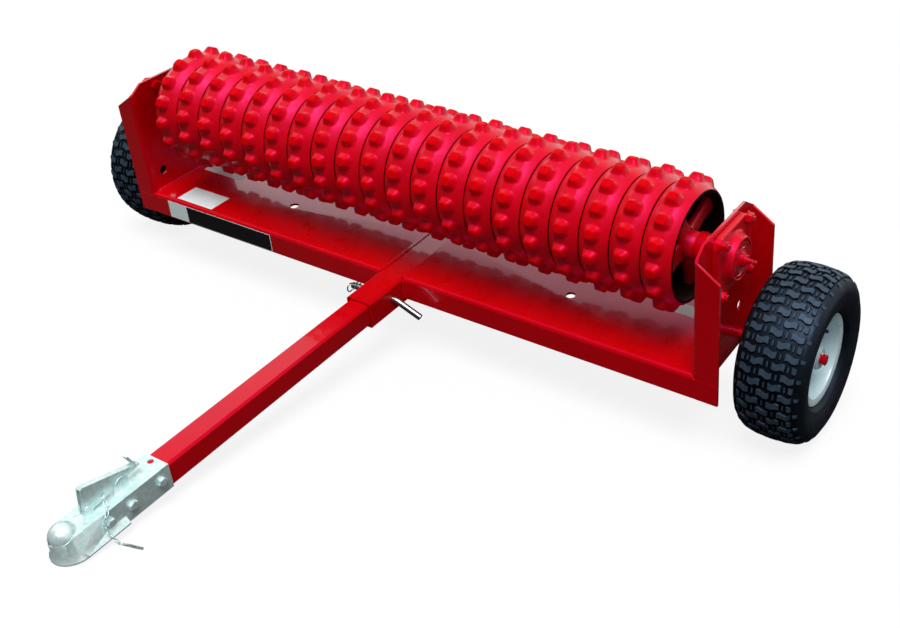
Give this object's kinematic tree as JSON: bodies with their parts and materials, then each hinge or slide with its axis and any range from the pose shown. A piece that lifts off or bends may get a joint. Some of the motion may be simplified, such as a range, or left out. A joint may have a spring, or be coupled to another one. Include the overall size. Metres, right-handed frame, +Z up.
{
  "type": "tow-behind cultipacker",
  "caption": "Ball-hitch towed soil packer: a gang of knobbed cast rings between end plates over a channel tray, with turf wheels and a square drawbar.",
  "frame": {"origin": "centre of the overall box on the floor", "axes": "+X along the roller towards the right wheel, +Y from the coupler towards the wheels, +Z up"},
  "size_m": [2.112, 1.407, 0.6032],
  "materials": {
    "paint_red": "gloss red paint on sheet and tube",
    "cast_red": "gloss red paint on rough cast iron",
    "zinc": "bright zinc plate",
    "bright_steel": "ground steel",
    "tyre_rubber": "black moulded rubber",
    "wheel_grey": "pale grey semi-gloss paint"
  },
  "bodies": {
    "frame": {"tray_channel": "paint_red", "end_plate_left": "paint_red", "end_plate_right": "paint_red", "receiver_tube": "paint_red", "drawbar_tube": "paint_red", "stub_axle_left": "paint_red", "stub_axle_right": "paint_red", "bearing_housing_left": "cast_red", "bearing_housing_right": "cast_red", "bearing_bolt_left_1": "zinc", "bearing_bolt_left_2": "zinc", "bearing_bolt_left_3": "zinc", "bearing_bolt_left_4": "zinc", "bearing_bolt_right_1": "zinc", "bearing_bolt_right_2": "zinc", "bearing_bolt_right_3": "zinc", "bearing_bolt_right_4": "zinc", "coupler_body": "zinc", "coupler_bolt_1": "zinc", "coupler_bolt_2": "zinc", "coupler_bolt_3": "zinc", "lever_pivot_pin": "zinc"},
    "roller_gang": {"ring_01": "cast_red", "ring_02": "cast_red", "ring_03": "cast_red", "ring_04": "cast_red", "ring_05": "cast_red", "ring_06": "cast_red", "ring_07": "cast_red", "ring_08": "cast_red", "ring_09": "cast_red", "ring_10": "cast_red", "ring_11": "cast_red", "ring_12": "cast_red", "ring_13": "cast_red", "ring_14": "cast_red", "ring_15": "cast_red", "ring_16": "cast_red", "ring_17": "cast_red", "ring_18": "cast_red", "ring_19": "cast_red", "ring_20": "cast_red", "roller_shaft": "bright_steel", "hub_spacer_left": "paint_red", "hub_spacer_right": "paint_red", "bearing_insert_left": "bright_steel", "bearing_insert_right": "bright_steel"},
    "wheel_left": {"tyre_left": "tyre_rubber", "wheel_rim_left": "wheel_grey", "axle_washer_left": "zinc"},
    "wheel_right": {"tyre_right": "tyre_rubber", "wheel_rim_right": "wheel_grey", "axle_washer_right": "zinc"},
    "latch": {"latch_lever": "zinc"},
    "clamp": {"ball_clamp": "zinc"},
    "chain": {"safety_chain": "zinc", "safety_clip": "zinc"},
    "pin": {"hitch_pin": "zinc", "hitch_pin_clip": "zinc"}
  },
  "joints": [
    {"name": "roller_spin", "type": "hinge", "parent": "frame", "child": "roller_gang", "pos_m": [0, 0.38422, 0.44722], "axis": [1, 0, 0], "continuous": true},
    {"name": "wheel_spin_left", "type": "hinge", "parent": "frame", "child": "wheel_left", "pos_m": [-0.9735, 0.4991, 0.20228], "axis": [1, 0, 0], "continuous": true},
    {"name": "wheel_spin_right", "type": "hinge", "parent": "frame", "child": "wheel_right", "pos_m": [0.9735, 0.4991, 0.20228], "axis": [1, 0, 0], "continuous": true},
    {"name": "latch_lift", "type": "hinge", "parent": "frame", "child": "latch", "pos_m": [0, -0.62307, 0.07718], "axis": [1, 0, 0], "range_deg": [0, 60]},
    {"name": "clamp_drop", "type": "slide", "parent": "frame", "child": "clamp", "axis": [0, 0.1437, -0.9896], "range_m": [-0.0001, 0.0077]},
    {"name": "chain_hang", "type": "hinge", "parent": "latch", "child": "chain", "pos_m": [0, -0.58972, 0.09112], "axis": [1, 0, 0], "range_deg": [-60.5, 0.5]},
    {"name": "hitch_pin_turn", "type": "hinge", "parent": "frame", "child": "pin", "pos_m": [0, 0.23624, 0.15796], "axis": [1, 0, 0], "range_deg": [-100, 10]}
  ],
  "couplings": [
    {"joint": "clamp_drop", "follows": "latch_lift", "m_per_rad": 0.0072},
    {"joint": "chain_hang", "follows": "latch_lift", "ratio": -1}
  ]
}
